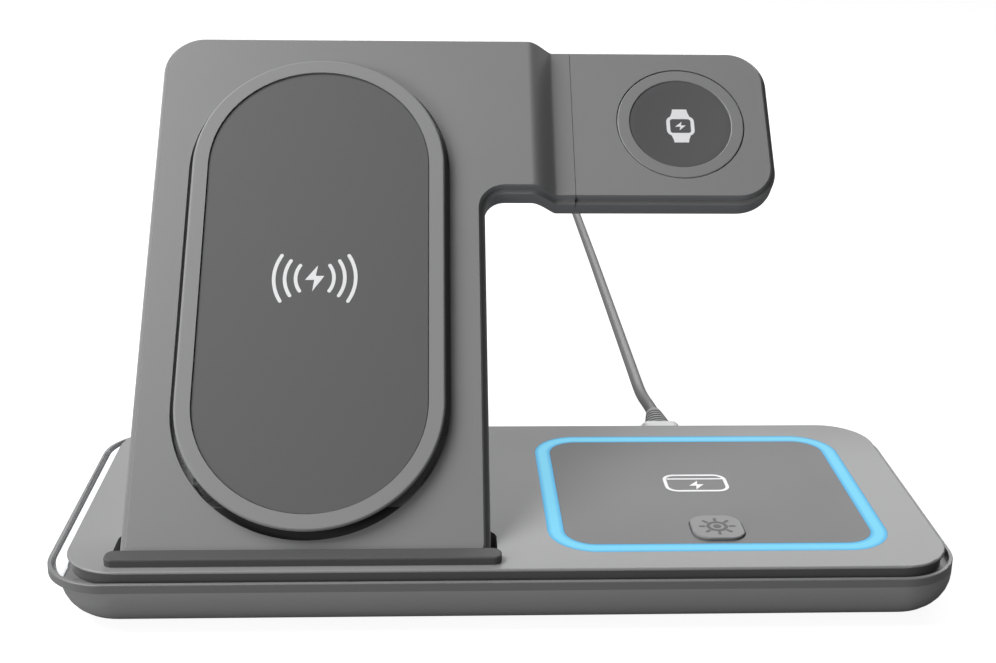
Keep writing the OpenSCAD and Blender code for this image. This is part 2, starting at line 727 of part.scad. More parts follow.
module watch_puck_face() {
    color([0.33, 0.33, 0.34]) on_plate() translate([puck_x, arm_mid, head_d - 2.6])
        rotate_extrude() polygon(concat([[0, 0], [dish_r, 0], [dish_r, 2.35]],
            [for (i = [8:-1:0]) [dish_r * i / 8 * 0.98, 1.75 + 0.6 * pow(i / 8, 2)]]));
}

module watch_coil() {
    color([0.75, 0.42, 0.2]) on_plate() translate([puck_x, arm_mid, head_d - 3.7]) difference() {
        cylinder(r = 12, h = 1.1);
        translate([0, 0, -1]) cylinder(r = 5, h = 4);
    }
}

module watch_magnet() {
    color([0.6, 0.6, 0.62]) on_plate() translate([puck_x, arm_mid, head_d - 3.9])
        cylinder(r = 4.2, h = 1.3);
}

module pivot_tube() {
    color([0.72, 0.72, 0.74]) on_plate() translate([head_x - arm_wall - 3.2, arm_mid, pivot_d])
        rotate([0, 90, 0]) difference() {
            union() {
                cylinder(r = pivot_r, h = 8);
                cylinder(r = pivot_r + 0.45, h = 0.6);
            }
            translate([0, 0, -1]) cylinder(r = pivot_r - 0.4, h = 12);
        }
}

module plug_tip() {
    color([0.75, 0.75, 0.77]) translate([port_x, plug_y0, port_z]) rotate([90, 0, 0]) difference() {
        translate([0, 0, 2.7]) slot_bar(8.24, 2.4, 5.4);
        translate([0, 0, 3.4]) cube([7, 0.9, 6], center = true);
    }
}

module plug_body() {
    len = plug_y1 - plug_y0;
    r = 2.2;
    color([0.9, 0.9, 0.9]) translate([port_x, plug_y0 + len / 2, port_z]) rotate([90, 0, 0])
        block_bar(plug_w, plug_h, len, r);
}

// A bar with a rounded rectangle section, its length along Z
module block_bar(w, h, len, r) {
    for (x = [-1, 1], y = [-1, 1]) translate([x * (w / 2 - r), y * (h / 2 - r), 0])
        cylinder(r = r, h = len, center = true);
    cube([w - 2 * r, h, len], center = true);
    cube([w, h - 2 * r, len], center = true);
}

module strain_relief() {
    color([0.3, 0.3, 0.31]) translate([port_x, plug_y1, port_z]) rotate([-90, 0, 0]) difference() {
        hull() {
            slot_bar_up(8.2, 5, 0.6);
            translate([0, 0, relief_l - 0.4]) cylinder(r = cord_dia / 2 + 0.45, h = 0.4, $fn = 32);
        }
        translate([0, 0, relief_l - 1]) cylinder(r = cord_dia / 2 + 0.06, h = 2);
    }
}

module slot_bar_up(w, h, len) {
    for (s = [-1, 1]) translate([s * (w - h) / 2, 0, 0]) cylinder(r = h / 2, h = len, $fn = 32);
}

// A round tube swept along points that are set by hand
function unit(v) = v / norm(v);
function along(pts, i) = unit(i == 0 ? pts[1] - pts[0]
    : i == len(pts) - 1 ? pts[i] - pts[i - 1] : pts[i + 1] - pts[i - 1]);
module tube_along(pts, r) {
    m = 8;
    last = len(pts) - 1;
    ring = [for (i = [0:last]) let (t = along(pts, i), s = unit(cross(t, [0, 0, 1])), u = cross(s, t))
        for (j = [0:m - 1]) pts[i] + r * cos(j * 360 / m) * s + r * sin(j * 360 / m) * u];
    sides = [for (i = [0:last - 1]) for (j = [0:m - 1])
        [i * m + j, i * m + (j + 1) % m, (i + 1) * m + (j + 1) % m, (i + 1) * m + j]];
    ends = [[for (j = [m - 1:-1:0]) j], [for (j = [0:m - 1]) last * m + j]];
    polyhedron(points = ring, faces = concat(sides, ends), convexity = 4);
}

module cord() {
    color([0.68, 0.68, 0.68]) tube_along(cord_pts, cord_dia / 2);
}

module cord_coil() {
    color([0.68, 0.68, 0.68]) translate([coil_x, coil_y, 0]) rotate_extrude()
        translate([coil_in_r, 0]) square([coil_out_r - coil_in_r, coil_h]);
}

module cord_tail() {
    color([0.68, 0.68, 0.68]) tube_along(tail_pts, cord_dia / 2);
}

module cord_tie() {
    w = coil_out_r - coil_in_r;
    color([0.15, 0.15, 0.15]) translate([coil_x, coil_y, 0]) rotate([0, 0, 200])
        translate([coil_in_r + w / 2, 0, coil_h / 2]) difference() {
            cube([w + 2.2, 5, coil_h + 1.6], center = true);
            cube([w + 0.8, 6, coil_h + 0.2], center = true);
            translate([0, 0, -coil_h]) cube([w + 4, 6, coil_h], center = true);
        }
}

module usb_a_body() {
    color([0.9, 0.9, 0.9]) translate([usb_a_x + usb_a_l / 2, usb_a_y, usb_a_h / 2])
        rotate([90, 0, 90]) block_bar(usb_a_w, usb_a_h, usb_a_l, 1.4);
}

module usb_a_shell() {
    color([0.75, 0.75, 0.77]) translate([usb_a_x + usb_a_l + 6, usb_a_y, usb_a_h / 2]) difference() {
        cube([12, 12, 4.5], center = true);
        translate([1, 0, 0]) cube([12, 11.4, 3.9], center = true);
    }
}

base_tray();
base_pad();
tray_screws();
rim_frame();
side_light_guide();
side_led_strip();
top_cover();
phone_rest();
ring_light_guide();
ring_led_board();
earbud_pad();
earbud_coil();
earbud_ferrite();
base_circuit_board();
board_components();
usb_socket();
button_switch();
light_button();
hinge_tube();
plate_front();
plate_back();
plate_screws();
phone_pad_rim();
phone_pad();
phone_coils();
phone_ferrite();
plate_circuit_board();
pivot_bush();
watch_head_front();
watch_head_back();
watch_puck_ring();
watch_puck_face();
watch_coil();
watch_magnet();
pivot_tube();
plug_tip();
plug_body();
strain_relief();
cord();
cord_coil();
cord_tail();
cord_tie();
usb_a_body();
usb_a_shell();
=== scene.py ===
"""A folding wireless charging stand: a low base with a lit earbud pad and a side lamp, a leaning phone
plate, a watch head on a stepped arm, and the supply cord plugged in behind. Metres throughout."""

import math

import bpy
from mathutils import Euler, Matrix, Vector
from mathutils.kdtree import KDTree


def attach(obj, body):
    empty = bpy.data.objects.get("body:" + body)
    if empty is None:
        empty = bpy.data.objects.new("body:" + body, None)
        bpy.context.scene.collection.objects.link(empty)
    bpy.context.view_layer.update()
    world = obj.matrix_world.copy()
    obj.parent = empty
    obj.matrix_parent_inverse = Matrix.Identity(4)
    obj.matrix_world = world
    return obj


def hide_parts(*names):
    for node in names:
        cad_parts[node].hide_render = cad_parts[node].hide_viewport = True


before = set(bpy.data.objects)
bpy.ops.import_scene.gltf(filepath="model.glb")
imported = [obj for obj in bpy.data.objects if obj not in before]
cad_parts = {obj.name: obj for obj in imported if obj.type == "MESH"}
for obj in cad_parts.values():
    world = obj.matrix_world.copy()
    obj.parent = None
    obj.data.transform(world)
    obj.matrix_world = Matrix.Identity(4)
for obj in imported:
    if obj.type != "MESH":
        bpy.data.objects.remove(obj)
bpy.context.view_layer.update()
MM = 0.001


# The picture's eye: a long lens on a stand in front of the charger, a little to the left of its middle,
# looking down on it by about 18 degrees.
picture_width_px = 996
lens_px = 1500
sensor_width = 36.0
eye = Vector((-16.24, -321.77, 160.72)) * MM
eye_pitch = math.radians(18.462)
eye_turn = math.radians(2.516)
eye_roll = math.radians(0.730)

camera = bpy.data.objects.new("eye", bpy.data.cameras.new("eye"))
bpy.context.scene.collection.objects.link(camera)
camera.data.sensor_width = sensor_width
camera.data.lens = lens_px / picture_width_px * sensor_width
camera.data.clip_start = 10 * MM
camera.data.clip_end = 20
camera.location = eye
looking = Euler((math.pi / 2 - eye_pitch, 0, -eye_turn)).to_matrix() @ Matrix.Rotation(eye_roll, 3, "Z")
camera.rotation_euler = looking.to_euler()
bpy.context.scene.camera = camera


# The supply cord: a metre of soft light grey jacket, 3.4 mm thick. It leaves the plug's strain relief,
# sinks to the table, runs straight back and ends in a neat round coil in two layers, held by a tie, with
# the far plug beside it. The coil lies where the arm hides it.
cord_thickness = 3.4 * MM
cord_grey = (0.150, 0.150, 0.150)
cord_run = [
    (45, 68, 5.6), (45, 70.5, 5.5), (45, 75, 5), (45, 82, 3.9), (45, 89, 2.7),
    (45, 96, 1.9), (45, 104, 1.7), (45.1, 130, 1.7), (45.2, 155, 1.7), (45.3, 185, 1.7),
    (45.4, 215, 1.7), (45.5, 245, 1.7), (45.5, 275, 1.7), (45.5, 300, 1.7), (45.5, 320, 1.7),
    (45.5, 335, 1.7), (45.5, 349.6, 1.7), (45.5, 362, 1.7),
]
cord_tail = [
    (67.9, 384.4, 5.1), (73, 384.4, 5.1), (80.3, 384.4, 5.1), (84, 384.4, 4.9), (88, 384.4, 4.3),
    (92, 384.4, 3.7), (96, 384.4, 3.5), (99, 384.4, 3.5),
]
coil_middle = (67.9, 362)
coil_outer_turn = 22.4
turn_step = 3.4
layer_low, layer_high = 1.7, 5.1
points_a_turn = 40
turns = 5.25


def eased(t, start, end):
    """0 before start, 1 after end, and a smooth change between."""
    k = min(1, max(0, (t - start) / (end - start)))
    return k * k * (3 - 2 * k)


def coil_points():
    """Clockwise turns from the left side: inwards on the table, then outwards on top of those."""
    points = []
    count = int(turns * points_a_turn)
    for i in range(1, count + 1):
        t = i / points_a_turn
        inwards = eased(t, 0.8, 1) + eased(t, 1.8, 2)
        outwards = eased(t, 3.4, 3.6) + eased(t, 4.4, 4.6)
        radius = coil_outer_turn - turn_step * (inwards - outwards)
        height = layer_low + (layer_high - layer_low) * eased(t, 2.45, 2.6)
        angle = math.pi - 2 * math.pi * t
        points.append((coil_middle[0] + radius * math.cos(angle),
                       coil_middle[1] + radius * math.sin(angle), height))
    return points


def smooth_through(points, parts):
    """A line through given points, with parts steps between each two of them."""
    line = []
    for i in range(len(points) - 1):
        a, b, c, d = (Vector(points[min(max(i + k, 0), len(points) - 1)]) for k in (-1, 0, 1, 2))
        for k in range(parts):
            t = k / parts
            line.append(0.5 * (2 * b + (c - a) * t + (2 * a - 5 * b + 4 * c - d) * t ** 2
                               + (3 * b - a - 3 * c + d) * t ** 3))
    line.append(Vector(points[-1]))
    return line


def tube(name, line, thickness):
    """A round jacket drawn along a line, as a curve."""
    drawn = bpy.data.curves.new(name, "CURVE")
    drawn.dimensions = "3D"
    drawn.bevel_depth = thickness / 2
    drawn.bevel_resolution = 5
    drawn.use_fill_caps = True
    spline = drawn.splines.new("POLY")
    spline.points.add(len(line) - 1)
    for point, place in zip(spline.points, line):
        point.co = (*(Vector(place) * MM), 1)
    spline.use_smooth = True
    piece = bpy.data.objects.new(name, drawn)
    bpy.context.scene.collection.objects.link(piece)
    return piece


def socket(group, name, kind, direction, value=None):
    """One named input or output of a shared finish."""
    made = group.interface.new_socket(name, in_out=direction, socket_type=kind)
    if value is not None:
        made.default_value = value


def moulded_surface():
    """Shared finish: faint clouding, painted shade where a face is marked as lying in a gap, a fine grain, and its
    height.
    """
    group = bpy.data.node_groups.new("moulded surface", "ShaderNodeTree")
    socket(group, "Colour", "NodeSocketColor", "INPUT")
    socket(group, "Cloud", "NodeSocketFloat", "INPUT", 0.04)
    socket(group, "Grain", "NodeSocketFloat", "INPUT", 2500)
    socket(group, "Roughness", "NodeSocketFloat", "INPUT", 0.5)
    socket(group, "Colour", "NodeSocketColor", "OUTPUT")
    socket(group, "Roughness", "NodeSocketFloat", "OUTPUT")
    socket(group, "Height", "NodeSocketFloat", "OUTPUT")
    add, link = group.nodes.new, group.links.new
    given, put_out = add("NodeGroupInput"), add("NodeGroupOutput")
    place = add("ShaderNodeTexCoord")
    cloud = add("ShaderNodeTexNoise")
    cloud.inputs["Scale"].default_value = 22
    cloud.inputs["Detail"].default_value = 3
    link(place.outputs["Object"], cloud.inputs["Vector"])
    grain = add("ShaderNodeTexNoise")
    grain.inputs["Detail"].default_value = 2
    link(place.outputs["Object"], grain.inputs["Vector"])
    link(given.outputs["Grain"], grain.inputs["Scale"])
    centred = add("ShaderNodeMath")
    centred.operation = "SUBTRACT"
    centred.inputs[1].default_value = 0.5
    link(cloud.outputs["Fac"], centred.inputs[0])
    tint = add("ShaderNodeMath")
    tint.operation = "MULTIPLY_ADD"
    tint.inputs[2].default_value = 1
    link(centred.outputs[0], tint.inputs[0])
    link(given.outputs["Cloud"], tint.inputs[1])
    speck = add("ShaderNodeMapRange")
    speck.inputs["To Min"].default_value = 0.975
    speck.inputs["To Max"].default_value = 1.025
    link(grain.outputs["Fac"], speck.inputs["Value"])
    both = add("ShaderNodeMath")
    both.operation = "MULTIPLY"
    link(tint.outputs[0], both.inputs[0])
    link(speck.outputs[0], both.inputs[1])
    # Painted shade: a face's gap mark darkens its colour by that fraction, standing in for the shade in gaps and
    # recesses.
    gap = add("ShaderNodeAttribute")
    gap.attribute_name = "gap"
    open_to_light = add("ShaderNodeMath")
    open_to_light.operation = "SUBTRACT"
    open_to_light.inputs[0].default_value = 1
    link(gap.outputs["Fac"], open_to_light.inputs[1])
    toned = add("ShaderNodeMath")
    toned.operation = "MULTIPLY"
    link(both.outputs[0], toned.inputs[0])
    link(open_to_light.outputs[0], toned.inputs[1])
    shade = add("ShaderNodeVectorMath")
    shade.operation = "SCALE"
    link(given.outputs["Colour"], shade.inputs[0])
    link(toned.outputs[0], shade.inputs["Scale"])
    rough = add("ShaderNodeMath")
    rough.operation = "MULTIPLY_ADD"
    rough.inputs[1].default_value = 0.12
    link(centred.outputs[0], rough.inputs[0])
    link(given.outputs["Roughness"], rough.inputs[2])
    link(shade.outputs[0], put_out.inputs["Colour"])
    link(rough.outputs[0], put_out.inputs["Roughness"])
    link(grain.outputs["Fac"], put_out.inputs["Height"])
    return group


moulding = moulded_surface()


def moulded(name, colour, roughness, grain=2500, depth=0.02, cloud=0.06, metallic=0, specular=0.5):
    """A material of plain stuff with the shared moulded finish; depth is the grain's height in mm."""
    material = bpy.data.materials.new(name)
    material.use_nodes = True
    nodes, link = material.node_tree.nodes, material.node_tree.links.new
    shader = nodes["Principled BSDF"]
    surface = nodes.new("ShaderNodeGroup")
    surface.node_tree = moulding
    surface.inputs["Colour"].default_value = (*colour, 1)
    surface.inputs["Cloud"].default_value = cloud
    surface.inputs["Grain"].default_value = grain
    surface.inputs["Roughness"].default_value = roughness
    bump = nodes.new("ShaderNodeBump")
    bump.inputs["Distance"].default_value = depth * MM
    link(surface.outputs["Height"], bump.inputs["Height"])
    link(surface.outputs["Colour"], shader.inputs["Base Color"])
    link(surface.outputs["Roughness"], shader.inputs["Roughness"])
    link(bump.outputs["Normal"], shader.inputs["Normal"])
    shader.inputs["Metallic"].default_value = metallic
    shader.inputs["Specular IOR Level"].default_value = specular
    return material


def painted_gap_shade(piece, painted_shade, in_painted_shade):
    """Paints shade into the faces whose every corner, in millimetres, the mask accepts, darkening them by the given
    fraction.
    """
    mark = piece.data.attributes.new("gap", "FLOAT", "FACE")
    for face in piece.data.polygons:
        corners = (piece.data.vertices[i].co / MM for i in face.vertices)
        mark.data[face.index].value = painted_shade if all(in_painted_shade(p) for p in corners) else 0


def finished(piece, material):
    """Gives a piece its finish."""
    piece.data.materials.clear()
    piece.data.materials.append(material)


cord_line = smooth_through(cord_run, 6) + [Vector(p) for p in coil_points()]
cord_line += smooth_through(cord_tail, 4)
supply_cord = tube("supply_cord", cord_line, cord_thickness)
jacket = moulded("cord jacket", cord_grey, 0.42, grain=1800, depth=0.01, cloud=0.03)
finished(supply_cord, jacket)
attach(supply_cord, "base")
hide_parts("cord", "cord_coil", "cord_tail")


# The boot on the plug: a grey rubber strain relief that narrows from the plug's oval to the cord, with
# rings round it that let it bend, and the near plug's pale overmould with a collar over the boot's root.
def picked_out():
    """Nothing selected, and object mode."""
    if bpy.context.object and bpy.context.object.mode != "OBJECT":
        bpy.ops.object.mode_set(mode="OBJECT")
    bpy.ops.object.select_all(action="DESELECT")


def taken_up(piece):
    """The piece alone selected and active."""
    picked_out()
    piece.select_set(True)
    bpy.context.view_layer.objects.active = piece


def applied(piece, kind, **settings):
    """A modifier with those settings, applied."""
    taken_up(piece)
    modifier = piece.modifiers.new(kind.lower(), kind)
    for key, value in settings.items():
        setattr(modifier, key, value)
    bpy.ops.object.modifier_apply(modifier=modifier.name)


def rounded_shading(piece, angle):
    """Shades rounded edges as round and leaves the flats flat."""
    taken_up(piece)
    bpy.ops.object.shade_smooth_by_angle(angle=math.radians(angle))
    applied(piece, "WEIGHTED_NORMAL", keep_sharp=True, weight=90)


boot_x, boot_z = 45, 5.6
boot_start, boot_end = 54, 69
root_half = (4.1, 2.5)
tip_half = (2.15, 2.15)
ring_count = 6
ring_depth = 0.5


def boot_half(y):
    """Half width and half height of the boot at a place along it, without its rings."""
    t = (y - boot_start) / (boot_end - boot_start)
    t = t ** 1.4
    return [a + (b - a) * t for a, b in zip(root_half, tip_half)]


picked_out()
bpy.ops.mesh.primitive_circle_add(vertices=40, radius=MM, fill_type="NGON", enter_editmode=True,
                                  location=(boot_x * MM, boot_start * MM, boot_z * MM),
                                  rotation=(math.pi / 2, 0, 0))
boot = bpy.context.object
boot.name = "ribbed_boot"
bpy.ops.mesh.select_all(action="SELECT")
size = boot_half(boot_start)
bpy.ops.transform.resize(value=(size[0], 1, size[1]), center_override=boot.location)
stations = []
ring_pitch = (boot_end - 1.4 - (boot_start + 3.4)) / ring_count
for k in range(ring_count):
    at = boot_start + 3.4 + k * ring_pitch
    stations += [(at, 0), (at + 0.12, ring_depth), (at + 0.7, ring_depth), (at + 0.82, 0)]
stations += [(boot_end - 0.3, 0), (boot_end, 0.3)]
here = boot_start
for at, cut in stations:
    new_size = [half - cut for half in boot_half(at)]
    bpy.ops.mesh.extrude_region_move(TRANSFORM_OT_translate={"value": (0, (at - here) * MM, 0)})
    bpy.ops.transform.resize(value=(new_size[0] / size[0], 1, new_size[1] / size[1]),
                             center_override=(boot_x * MM, at * MM, boot_z * MM))
    here, size = at, new_size
bpy.ops.mesh.select_all(action="SELECT")
bpy.ops.mesh.normals_make_consistent(inside=False)
bpy.ops.object.mode_set(mode="OBJECT")
bpy.ops.object.transform_apply(location=True, rotation=True, scale=True)
rounded_shading(boot, 40)
boot_rubber = moulded("grey boot rubber", (0.36, 0.36, 0.363), 0.6, grain=1800, depth=0.02)
finished(boot, boot_rubber)
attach(boot, "base")
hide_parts("strain_relief")


def joined(node, name):
    """A copy of a CAD shape as a new piece, with its loose faces joined."""
    piece = bpy.data.objects.new(name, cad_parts[node].data.copy())
    bpy.context.scene.collection.objects.link(piece)
    taken_up(piece)
    bpy.ops.object.mode_set(mode="EDIT")
    bpy.ops.mesh.select_all(action="SELECT")
    bpy.ops.mesh.remove_doubles(threshold=0.001 * MM)
    bpy.ops.object.mode_set(mode="OBJECT")
    return piece


def shell(node, name, body, material, shaping=None, angle=32):
    """A moulded shell in its true shape, with its rounded edges shaded round."""
    piece = joined(node, name)
    if shaping:
        shaping(piece)
    taken_up(piece)
    bpy.ops.object.mode_set(mode="EDIT")
    bpy.ops.mesh.select_all(action="SELECT")
    bpy.ops.mesh.dissolve_limited(angle_limit=math.radians(0.5))
    bpy.ops.object.mode_set(mode="OBJECT")
    rounded_shading(piece, angle)
    finished(piece, material)
    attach(piece, body)
    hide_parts(node)
    return piece


def moved(piece, place):
    """Moves each point of a piece to where place says, in millimetres."""
    for point in piece.data.vertices:
        point.co = place(point.co / MM) * MM


def coated(node, material):
    """A plain CAD node keeps its shape and takes a finish."""
    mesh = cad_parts[node].data
    mesh.materials.clear()
    mesh.materials.append(material)


collar_end = 56.8
overmould = moulded("plug overmould", (0.86, 0.86, 0.86), 0.40, grain=1800, depth=0.01)
near_plug = shell("plug_body", "plug_overmould", "base", overmould, lambda piece: moved(
    piece, lambda p: Vector((p.x, collar_end if p.y > boot_start - 0.1 else p.y, p.z))))
coated("usb_a_body", overmould)


# The bottom tray: one dark grey moulding whose side turns under in a deep curve, with standoffs and screw
# bosses inside. The table side carries a recessed non-slip sheet and four screws.
tray_grey = (0.330, 0.330, 0.334)
satin_tray = moulded("satin tray plastic", tray_grey, 0.42, grain=2600, depth=0.012)
shell("base_tray", "tray_shell", "base", satin_tray)
soft_black = moulded("non-slip rubber", (0.028, 0.028, 0.028), 0.85, grain=1500, depth=0.05)
shell("base_pad", "non_slip_sheet", "base", soft_black)


# The rim frame: a slim dark moulding that closes the tray round the cover. Its outer lip stands a little
# above the lamp's channel, and its corners are tighter than the tray's.
rim_grey = (0.215, 0.215, 0.218)
satin_rim = moulded("satin rim plastic", rim_grey, 0.40, grain=2600, depth=0.012)
shell("rim_frame", "rim_rail", "base", satin_rim)


# The side lamp: a clear-white acrylic guide in the left channel, lit from behind by a strip of five small
# lamps that stands against the cover's skirt.
cover_half = (95, 40)
cover_corner = 12


def outside_cover(p):
    """How far a place is outside the cover's outline in plan; inside it the figure is negative."""
    x, y = (abs(c) - half + cover_corner for c, half in zip(p, cover_half))
    return math.hypot(max(x, 0), max(y, 0)) + min(max(x, y), 0) - cover_corner


def glowing(name, colour, strength, base):
    """A lit guide: its own light varies a little along its length, as diffused lamps do."""
    material = bpy.data.materials.new(name)
    material.use_nodes = True
    nodes, link = material.node_tree.nodes, material.node_tree.links.new
    shader = nodes["Principled BSDF"]
    surface = nodes.new("ShaderNodeGroup")
    surface.node_tree = moulding
    surface.inputs["Colour"].default_value = (*colour, 1)
    surface.inputs["Cloud"].default_value = 0.10
    surface.inputs["Grain"].default_value = 900
    surface.inputs["Roughness"].default_value = 0.35
    shader.inputs["Base Color"].default_value = (*base, 1)
    link(surface.outputs["Colour"], shader.inputs["Emission Color"])
    link(surface.outputs["Roughness"], shader.inputs["Roughness"])
    shader.inputs["Emission Strength"].default_value = strength
    return material


lamp_white = glowing("lit white acrylic", (0.90, 0.93, 0.95), 0.85, (0.35, 0.35, 0.35))
guide_outer = -98.2
guide_groove = 0.8
guide_end = -94.7


def slimmed(piece):
    """Leaves a dark groove between guide and rail, and ends the guide before it turns the corners."""
    shrink = 1 - guide_groove / 41
    moved(piece, lambda p: Vector((p.x + guide_groove, p.y * shrink, p.z))
          if p.x < guide_outer or (abs(p.y) > 30 and outside_cover(p) > 0.6) else p)
    taken_up(piece)
    bpy.ops.object.mode_set(mode="EDIT")
    bpy.ops.mesh.select_all(action="SELECT")
    bpy.ops.mesh.bisect(plane_co=(guide_end * MM, 0, 0), plane_no=(1, 0, 0), use_fill=True, clear_outer=True)
    bpy.ops.object.mode_set(mode="OBJECT")


shell("side_light_guide", "side_lamp_guide", "base", lamp_white, slimmed)
board_white = moulded("white solder mask", (0.70, 0.70, 0.66), 0.45, grain=1200, depth=0.01, cloud=0.1)
coated("side_led_strip", board_white)


# The top cover: a mid-grey satin moulding with a thin overhanging edge, a skirt set in below it, the well
# for the plate's hinge and the opening for the light ring.
cover_grey = (0.265, 0.265, 0.268)
satin_cover = moulded("satin cover plastic", cover_grey, 0.46, grain=2600, depth=0.012, cloud=0.04)
skirt_in = 0.8
skirt_top = 13.5
skirt_foot = 10.65


def set_back(piece):
    """Sets the skirt in below the cover's thin edge, so that the edge overhangs it."""
    taken_up(piece)
    bpy.ops.object.mode_set(mode="EDIT")
    bpy.ops.mesh.select_all(action="DESELECT")
    bpy.ops.object.mode_set(mode="OBJECT")
    for face in piece.data.polygons:
        middle = face.center / MM
        on_side = abs(face.normal.z) < 0.01 and middle.z < skirt_top
        face.select = on_side and abs(outside_cover(middle)) < 0.15
    bpy.ops.object.mode_set(mode="EDIT")
    bpy.ops.mesh.extrude_region_shrink_fatten(TRANSFORM_OT_shrink_fatten={"value": -skirt_in * MM})
    bpy.ops.object.mode_set(mode="OBJECT")
    wall = [point.co.copy() for point in piece.data.vertices if point.select and point.co.z < skirt_foot * MM]
    near = KDTree(len(wall))
    for i, place in enumerate(wall):
        near.insert(place, i)
    near.balance()
    for point in piece.data.vertices:
        if point.co.z < skirt_foot * MM and outside_cover(point.co / MM) > -0.1:
            point.co = near.find(point.co)[0]
    bpy.ops.object.mode_set(mode="EDIT")
    bpy.ops.mesh.select_all(action="SELECT")
    bpy.ops.mesh.remove_doubles(threshold=0.001 * MM)
    bpy.ops.object.mode_set(mode="OBJECT")


cover = shell("top_cover", "cover_shell", "base", satin_cover, set_back)
# Painted shade: the set-in skirt and the band just inside the outline below the overhang are darkened to 0.55 of the
# cover's colour, standing in for the shade under the edge.
painted_gap_shade(cover, 0.45, lambda p: p.z < skirt_top + 0.01 and outside_cover(p) > -1.6)


# The phone rest: a dark soft rubber bar with round ends, glued on in front of the plate's foot.
soft_bar = moulded("soft rest rubber", (0.085, 0.085, 0.087), 0.72, grain=1800, depth=0.03)
shell("phone_rest", "phone_rest_bar", "base", soft_bar)


# The light ring: a band of clear acrylic flush with the cover round the earbud pad, lit blue from below.
# It is brightest along its middle and a deeper blue at both borders.
ring_centre = (46.3, 0)
ring_half = (37.8, 32.2)
ring_corner = 10.4
ring_band = 3.6


def ring_light():
    """Lit blue acrylic whose colour follows the distance from the band's two borders."""
    material = bpy.data.materials.new("lit blue acrylic")
    material.use_nodes = True
    nodes, link = material.node_tree.nodes, material.node_tree.links.new
    shader = nodes["Principled BSDF"]

    def vector(operation, given, value=None):
        node = nodes.new("ShaderNodeVectorMath")
        node.operation = operation
        link(given, node.inputs[0])
        if value is not None:
            node.inputs[1].default_value = value
        return node.outputs["Value" if operation == "LENGTH" else "Vector"]

    place = nodes.new("ShaderNodeTexCoord").outputs["Object"]
    centred = vector("SUBTRACT", place, (ring_centre[0] * MM, ring_centre[1] * MM, 0))
    flat = vector("ABSOLUTE", vector("MULTIPLY", centred, (1, 1, 0)))
    corner = ((ring_half[0] - ring_corner) * MM, (ring_half[1] - ring_corner) * MM, 0)
    beyond = vector("MAXIMUM", vector("SUBTRACT", flat, corner), (0, 0, 0))
    span = nodes.new("ShaderNodeMapRange")
    span.inputs["From Min"].default_value = (ring_corner - ring_band) * MM
    span.inputs["From Max"].default_value = ring_corner * MM
    link(vector("LENGTH", beyond), span.inputs["Value"])
    ramp = nodes.new("ShaderNodeValToRGB")
    link(span.outputs["Result"], ramp.inputs["Fac"])
    deep, bright = (0.06, 0.42, 0.80, 1), (0.215, 0.73, 1.0, 1)
    ramp.color_ramp.elements[0].color = deep
    ramp.color_ramp.elements[1].color = deep
    for at in (0.3, 0.7):
        ramp.color_ramp.elements.new(at).color = bright
    surface = nodes.new("ShaderNodeGroup")
    surface.node_tree = moulding
    surface.inputs["Cloud"].default_value = 0.06
    surface.inputs["Grain"].default_value = 900
    surface.inputs["Roughness"].default_value = 0.55
    link(ramp.outputs["Color"], surface.inputs["Colour"])
    link(surface.outputs["Colour"], shader.inputs["Emission Color"])
    link(surface.outputs["Roughness"], shader.inputs["Roughness"])
    shader.inputs["Base Color"].default_value = (0.03, 0.10, 0.14, 1)
    shader.inputs["Specular IOR Level"].default_value = 0.15
    shader.inputs["Emission Strength"].default_value = 0.76
    return material


shell("ring_light_guide", "blue_light_ring", "base", ring_light())


# The earbud pad: a satin panel flush inside the ring, with a rounded opening for the light button.
satin_pad = moulded("satin pad plastic", (0.130, 0.130, 0.133), 0.44, specular=0.3, grain=2600, depth=0.012, cloud=0.04)
shell("earbud_pad", "earbud_panel", "base", satin_pad)


# The light button: a small domed-edge key in the pad's front, on a tactile switch below.
satin_button = moulded("satin button plastic", (0.195, 0.195, 0.198), 0.42, specular=0.3, grain=2600, depth=0.01)
shell("light_button", "light_key", "light_button", satin_button)


